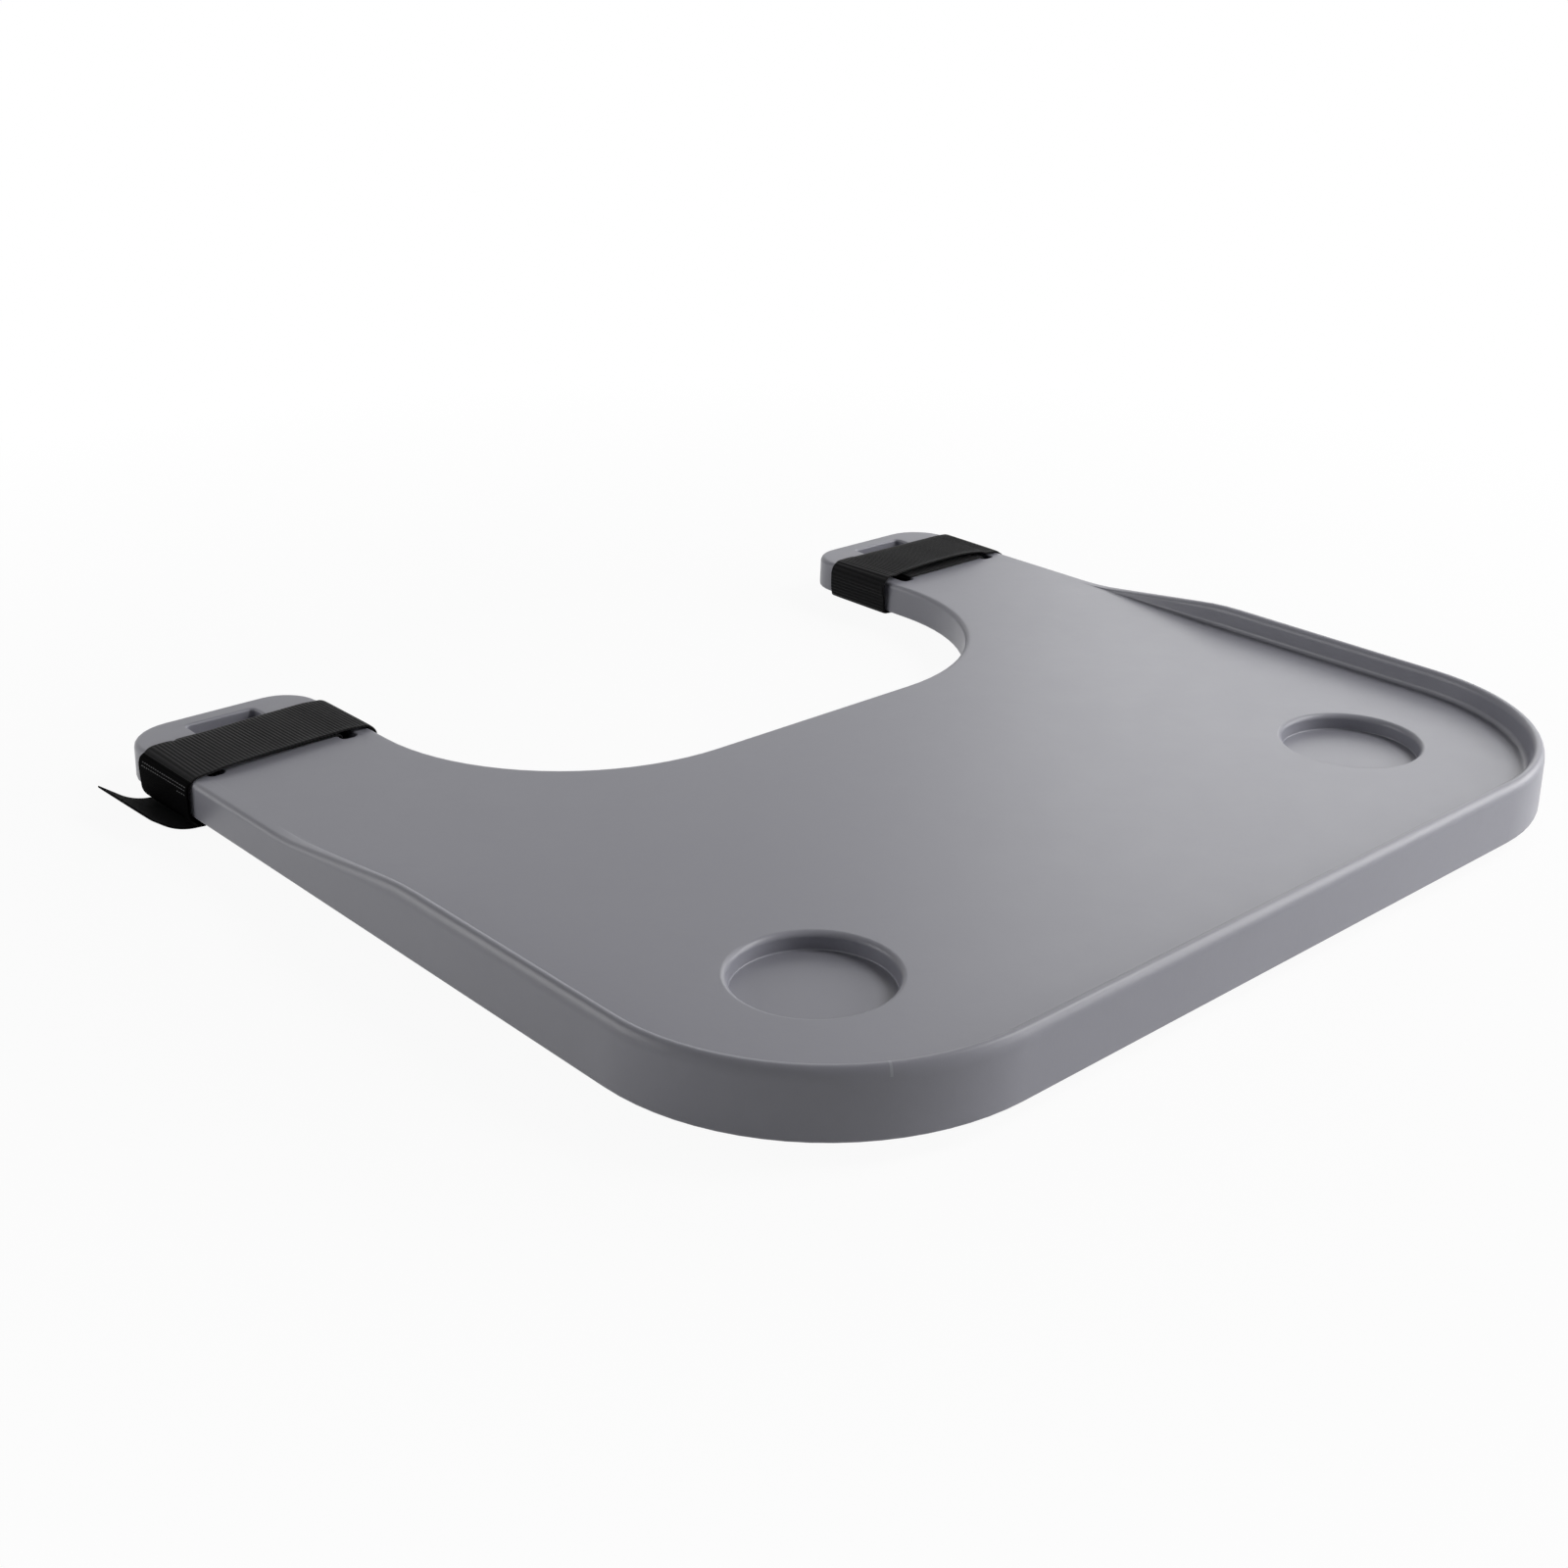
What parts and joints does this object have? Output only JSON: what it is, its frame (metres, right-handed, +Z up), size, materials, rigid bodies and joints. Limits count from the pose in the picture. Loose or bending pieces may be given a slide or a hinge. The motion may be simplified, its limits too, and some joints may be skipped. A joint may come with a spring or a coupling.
{
  "type": "wheelchair tray table",
  "caption": "Moulded wheelchair tray with a raised rim, belly cut-out, cup recesses and slotted arms held on the armrests by wrapped hook-and-loop straps.",
  "frame": {"origin": "middle of the bounding box, at its lowest point, which is the underside of the straps", "axes": "+X across the chair, +Y towards the user along the arms, +Z up"},
  "size_m": [0.6488, 0.54, 0.0417],
  "materials": {
    "tray_plastic": "grey moulded plastic, semi-matt",
    "webbing": "black cross-ribbed webbing",
    "hook_tape": "black hook tape, matt",
    "loop_tape": "black loop tape, matt"
  },
  "bodies": {
    "tray": {"tray_moulding": "tray_plastic", "left_strap_webbing": "webbing", "left_hook_tape": "hook_tape", "right_strap_webbing": "webbing", "right_hook_tape": "hook_tape"},
    "left_tail": {"left_loop_tape": "loop_tape"},
    "right_tail": {"right_loop_tape": "loop_tape"}
  },
  "joints": [
    {"name": "left_tail_peel", "type": "hinge", "parent": "tray", "child": "left_tail", "pos_m": [-0.28955, 0.216, 0], "axis": [0, -1, 0], "range_deg": [0, 80], "stiffness_Nm_per_rad": 0.005, "springref_deg": -11.46},
    {"name": "right_tail_peel", "type": "hinge", "parent": "tray", "child": "right_tail", "pos_m": [0.28955, 0.216, 0], "axis": [0, 1, 0], "range_deg": [0, 80], "stiffness_Nm_per_rad": 0.005, "springref_deg": -11.46}
  ]
}
